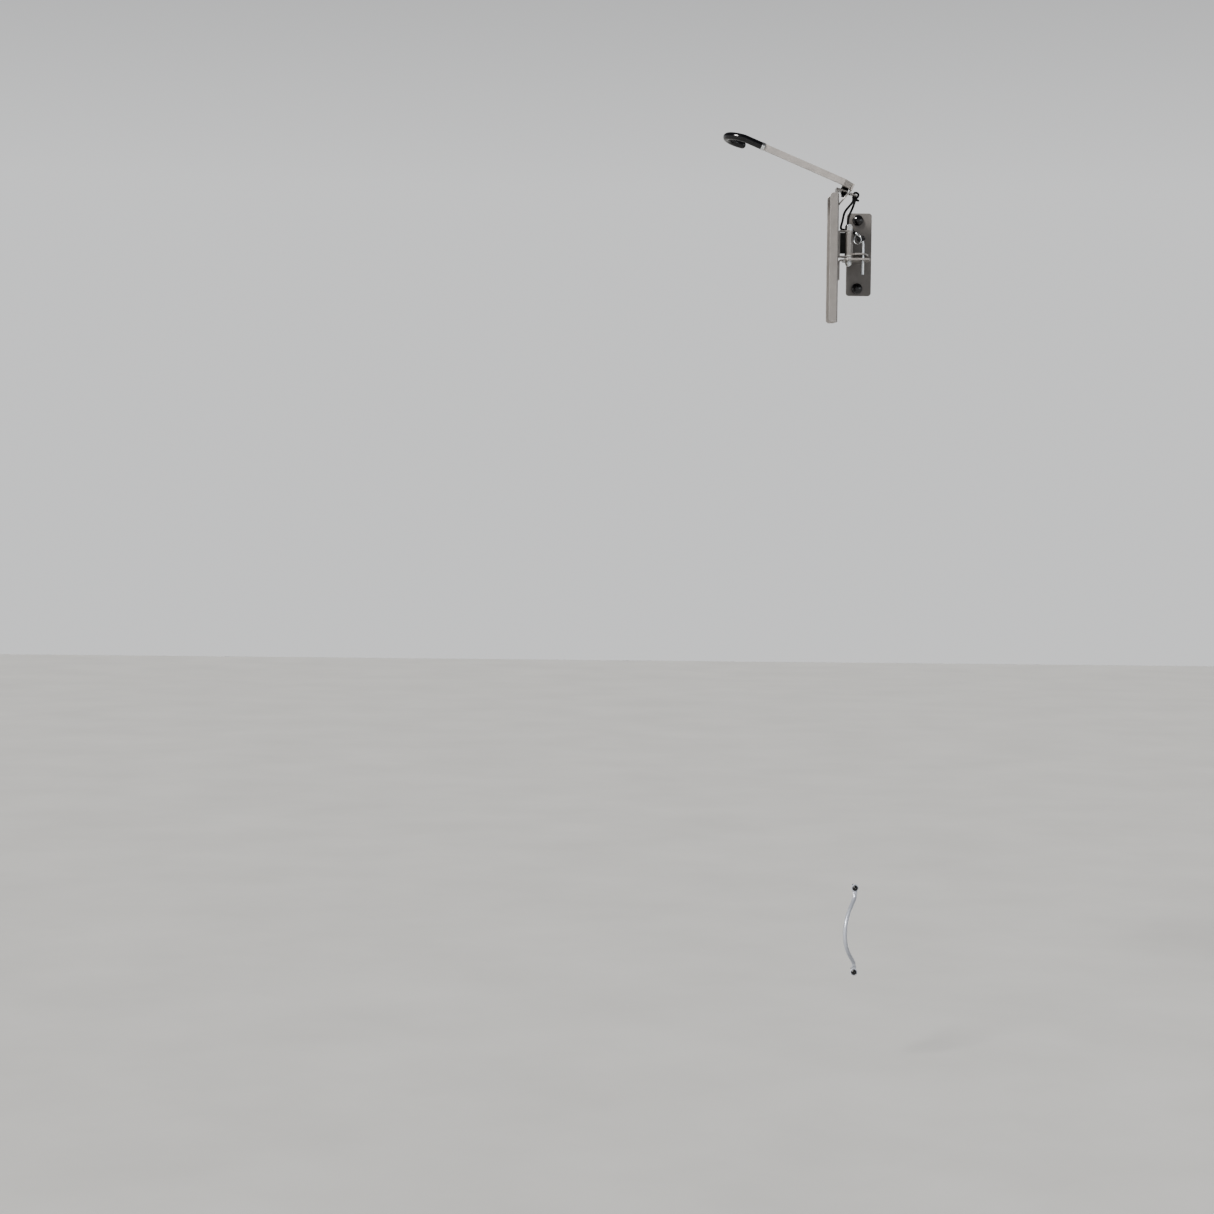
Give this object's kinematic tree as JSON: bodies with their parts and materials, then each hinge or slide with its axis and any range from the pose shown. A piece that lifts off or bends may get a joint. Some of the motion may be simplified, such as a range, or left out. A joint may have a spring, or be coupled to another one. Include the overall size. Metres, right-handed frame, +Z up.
{
  "type": "swinging bicycle wall rack",
  "caption": "Wall rack that holds a bicycle upright: a hook on an arm for the rim, a tyre tray on a locking wall hinge, and a bowed rear bumper bar.",
  "frame": {"origin": "centre of the wall plate's back face, on the wall", "axes": "+X right along the wall, +Y into the wall, +Z up"},
  "size_m": [0.2437, 0.1506, 1.3501],
  "materials": {
    "champagne_coat": "satin metallic coat",
    "silver_coat": "satin",
    "zinc": "bright zinc",
    "black_plastic": "gloss",
    "black_screw": "gloss",
    "sleeve_rubber": "gloss dip coat",
    "buffer_rubber": "matt",
    "nylon": "plain",
    "cord": "braided"
  },
  "bodies": {
    "wall": {"wall_plate": "champagne_coat", "hinge_web": "champagne_coat", "stop_lug": "champagne_coat", "hinge_tube": "champagne_coat", "hinge_bushes": "nylon", "wall_screws": "zinc", "wall_washers": "zinc", "screw_caps": "black_plastic", "bumper_bar": "silver_coat", "bumper_screws": "black_screw"},
    "head": {"tyre_tray": "champagne_coat", "clevis": "champagne_coat", "index_plate": "champagne_coat", "tray_rivets": "champagne_coat", "hinge_buffer": "buffer_rubber", "hinge_bolt": "zinc", "hinge_nut": "zinc", "nut_insert": "nylon", "hinge_washers": "zinc", "hook_arm": "champagne_coat", "arm_tail": "champagne_coat", "arm_spacer": "buffer_rubber", "arm_bolt": "black_screw", "arm_nut": "black_screw", "hook_rod": "zinc", "hook_sleeve": "sleeve_rubber", "hook_collar": "zinc", "lanyard": "cord", "lanyard_knot": "cord"},
    "pin": {"lock_pin": "zinc", "pin_lashing": "cord"},
    "ring": {"pull_ring": "zinc"}
  },
  "joints": [
    {"name": "head_swing", "type": "hinge", "parent": "wall", "child": "head", "pos_m": [-0.0235, -0.07, 0], "axis": [0, 0, 1], "range_deg": [0, 90], "deforming": ["lanyard"]},
    {"name": "pin_lift", "type": "slide", "parent": "wall", "child": "pin", "axis": [0, 0, 1], "range_m": [0, 0.026], "deforming": ["lanyard"]},
    {"name": "ring_swing", "type": "hinge", "parent": "pin", "child": "ring", "pos_m": [-0.00966, -0.07538, 0.0245], "axis": [-0.6606, 0.7507, 0], "range_deg": [-15, 12]}
  ]
}
